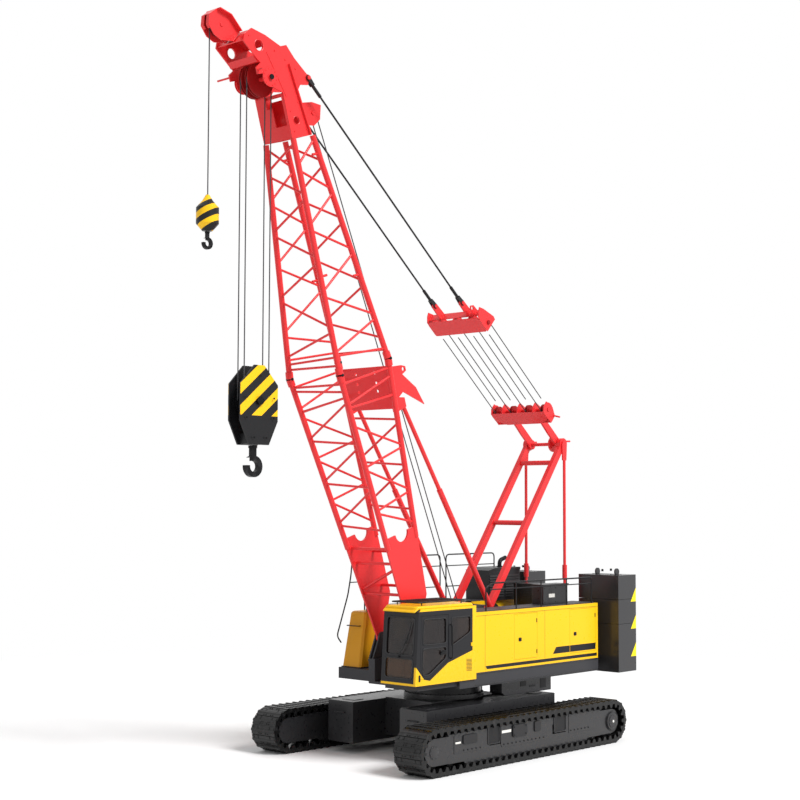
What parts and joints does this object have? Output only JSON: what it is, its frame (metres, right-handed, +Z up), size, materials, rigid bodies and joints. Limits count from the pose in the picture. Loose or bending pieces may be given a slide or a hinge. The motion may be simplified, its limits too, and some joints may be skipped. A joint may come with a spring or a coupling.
{
  "type": "crawler crane",
  "caption": "Tracked lattice-boom crane with a slewing upper, luffing boom, gantry and bail rigging, backstops, hook block and auxiliary ball, cab and stacked counterweight.",
  "frame": {"origin": "on the ground under the middle of the overall length and width", "axes": "+X forward, towards the boom; +Y to the left, the cab's side; +Z up"},
  "size_m": [12.8629, 5.37, 16.2857],
  "materials": {
    "red_paint": "satin",
    "yellow_paint": "satin",
    "grey_paint": "satin",
    "dark_paint": "satin",
    "hook_yellow": "satin",
    "track_steel": "worn",
    "rope_steel": "satin",
    "forged_steel": "satin",
    "sheave_paint": "satin",
    "weight_paint": "satin",
    "glass": "clear",
    "seat_trim": "matte"
  },
  "bodies": {
    "undercarriage": {"track_left": "track_steel", "track_right": "track_steel", "track_frame_left": "grey_paint", "track_frame_right": "grey_paint", "idlers": "track_steel", "final_drives": "dark_paint", "rollers": "track_steel", "carbody": "grey_paint", "slew_ring": "dark_paint"},
    "upper": {"deck_frame": "dark_paint", "housing_left": "yellow_paint", "housing_right": "yellow_paint", "engine": "dark_paint", "engine_hood": "yellow_paint", "radiator_housing": "dark_paint", "front_tank": "yellow_paint", "winches": "dark_paint", "cab_shell": "yellow_paint", "cab_glass": "glass", "cab_seat": "seat_trim", "counterweight_base": "weight_paint", "counterweight_blocks": "weight_paint", "gantry": "red_paint", "gantry_struts": "red_paint"},
    "cab_door": {"cab_door": "yellow_paint", "cab_door_glass": "glass"},
    "door_left_front": {"service_door_left_front": "yellow_paint"},
    "door_left_rear": {"service_door_left_rear": "yellow_paint"},
    "door_right_front": {"service_door_right_front": "yellow_paint"},
    "door_right_rear": {"service_door_right_rear": "yellow_paint"},
    "boom": {"boom_heel": "red_paint", "boom_butt": "red_paint", "boom_butt_lacing": "red_paint", "boom_joint": "red_paint", "boom_top": "red_paint", "boom_top_lacing": "red_paint", "boom_head": "red_paint", "boom_sheaves": "sheave_paint", "tip_sheave_frame": "red_paint", "rope_guide": "red_paint"},
    "bail": {"bail": "red_paint", "bail_sheaves": "sheave_paint", "pendants": "rope_steel", "upper_falls": "rope_steel"},
    "spreader": {"spreader": "red_paint", "spreader_sheaves": "sheave_paint", "lower_falls": "rope_steel"},
    "backstop_tubes": {"backstop_tubes": "red_paint"},
    "backstop_rods": {"backstop_rods": "red_paint"},
    "hoist_lines": {"hoist_lines": "rope_steel"},
    "hook_falls": {"head_falls": "rope_steel"},
    "hook_block": {"hook_block": "hook_yellow", "block_falls": "rope_steel"},
    "main_hook": {"main_hook": "forged_steel"},
    "auxiliary_line": {"auxiliary_line": "rope_steel", "auxiliary_ball": "hook_yellow"},
    "auxiliary_hook": {"auxiliary_hook": "forged_steel"}
  },
  "joints": [
    {"name": "slew", "type": "hinge", "parent": "undercarriage", "child": "upper", "pos_m": [-1.3, 0, 1.614], "axis": [0, 0, 1], "continuous": true},
    {"name": "cab_door_hinge", "type": "hinge", "parent": "upper", "child": "cab_door", "pos_m": [0.47, 1.705, 2.6], "axis": [0, 0, 1], "range_deg": [0, 165]},
    {"name": "left_front_door_hinge", "type": "hinge", "parent": "upper", "child": "door_left_front", "pos_m": [-2.85, 1.654, 2.7], "axis": [0, 0, 1], "range_deg": [0, 100]},
    {"name": "left_rear_door_hinge", "type": "hinge", "parent": "upper", "child": "door_left_rear", "pos_m": [-5.25, 1.654, 2.7], "axis": [0, 0, 1], "range_deg": [0, 95]},
    {"name": "right_front_door_hinge", "type": "hinge", "parent": "upper", "child": "door_right_front", "pos_m": [-2.85, -1.654, 2.7], "axis": [0, 0, -1], "range_deg": [0, 100]},
    {"name": "right_rear_door_hinge", "type": "hinge", "parent": "upper", "child": "door_right_rear", "pos_m": [-5.25, -1.654, 2.7], "axis": [0, 0, -1], "range_deg": [0, 95]},
    {"name": "boom_luff", "type": "hinge", "parent": "upper", "child": "boom", "pos_m": [0.33, 0, 2.68], "axis": [0, -1, 0], "range_deg": [-42.3, 7.7]},
    {"name": "bail_swing", "type": "hinge", "parent": "boom", "child": "bail", "pos_m": [3.7718, 0, 15.1751], "axis": [0, -1, 0], "range_deg": [-1.6, 8.5]},
    {"name": "spreader_swing", "type": "hinge", "parent": "upper", "child": "spreader", "pos_m": [-5.33, 0, 7.385], "axis": [0, -1, 0], "range_deg": [-33.9, 6.2]},
    {"name": "backstop_swing", "type": "hinge", "parent": "upper", "child": "backstop_tubes", "pos_m": [-2.47, 0, 2.9], "axis": [0, -1, 0], "range_deg": [-31.5, 6]},
    {"name": "backstop_slide", "type": "slide", "parent": "backstop_tubes", "child": "backstop_rods", "axis": [0.5513, 0, 0.8343], "range_m": [-0.3, 1.6]},
    {"name": "hoist_lines_swing", "type": "hinge", "parent": "boom", "child": "hoist_lines", "pos_m": [3.3723, 0, 14.5153], "axis": [0, -1, 0], "range_deg": [-0.8, 3.6]},
    {"name": "hook_falls_swing", "type": "hinge", "parent": "boom", "child": "hook_falls", "pos_m": [4.8783, 0, 14.9584], "axis": [0, -1, 0], "range_deg": [-7.8, 42.4]},
    {"name": "hook_hoist", "type": "slide", "parent": "hook_falls", "child": "hook_block", "axis": [0, 0, -1], "range_m": [0, 5.5]},
    {"name": "main_hook_swivel", "type": "hinge", "parent": "hook_block", "child": "main_hook", "pos_m": [4.8783, 0, 6.6099], "axis": [0, 0, 1], "continuous": true},
    {"name": "auxiliary_line_swing", "type": "hinge", "parent": "boom", "child": "auxiliary_line", "pos_m": [5.9729, 0, 15.9212], "axis": [0, -1, 0], "range_deg": [-7.8, 42.4]},
    {"name": "auxiliary_hook_swivel", "type": "hinge", "parent": "auxiliary_line", "child": "auxiliary_hook", "pos_m": [6.1929, 0, 11.2387], "axis": [0, 0, 1], "continuous": true}
  ],
  "couplings": [
    {"joint": "bail_swing", "follows": "boom_luff", "ratio": -0.1995},
    {"joint": "spreader_swing", "follows": "boom_luff", "ratio": 0.8005},
    {"joint": "backstop_swing", "follows": "boom_luff", "ratio": 0.7367},
    {"joint": "backstop_slide", "follows": "boom_luff", "m_per_rad": -2.099},
    {"joint": "hoist_lines_swing", "follows": "boom_luff", "ratio": -0.0812},
    {"joint": "hook_falls_swing", "follows": "boom_luff", "ratio": -1},
    {"joint": "auxiliary_line_swing", "follows": "boom_luff", "ratio": -1}
  ]
}
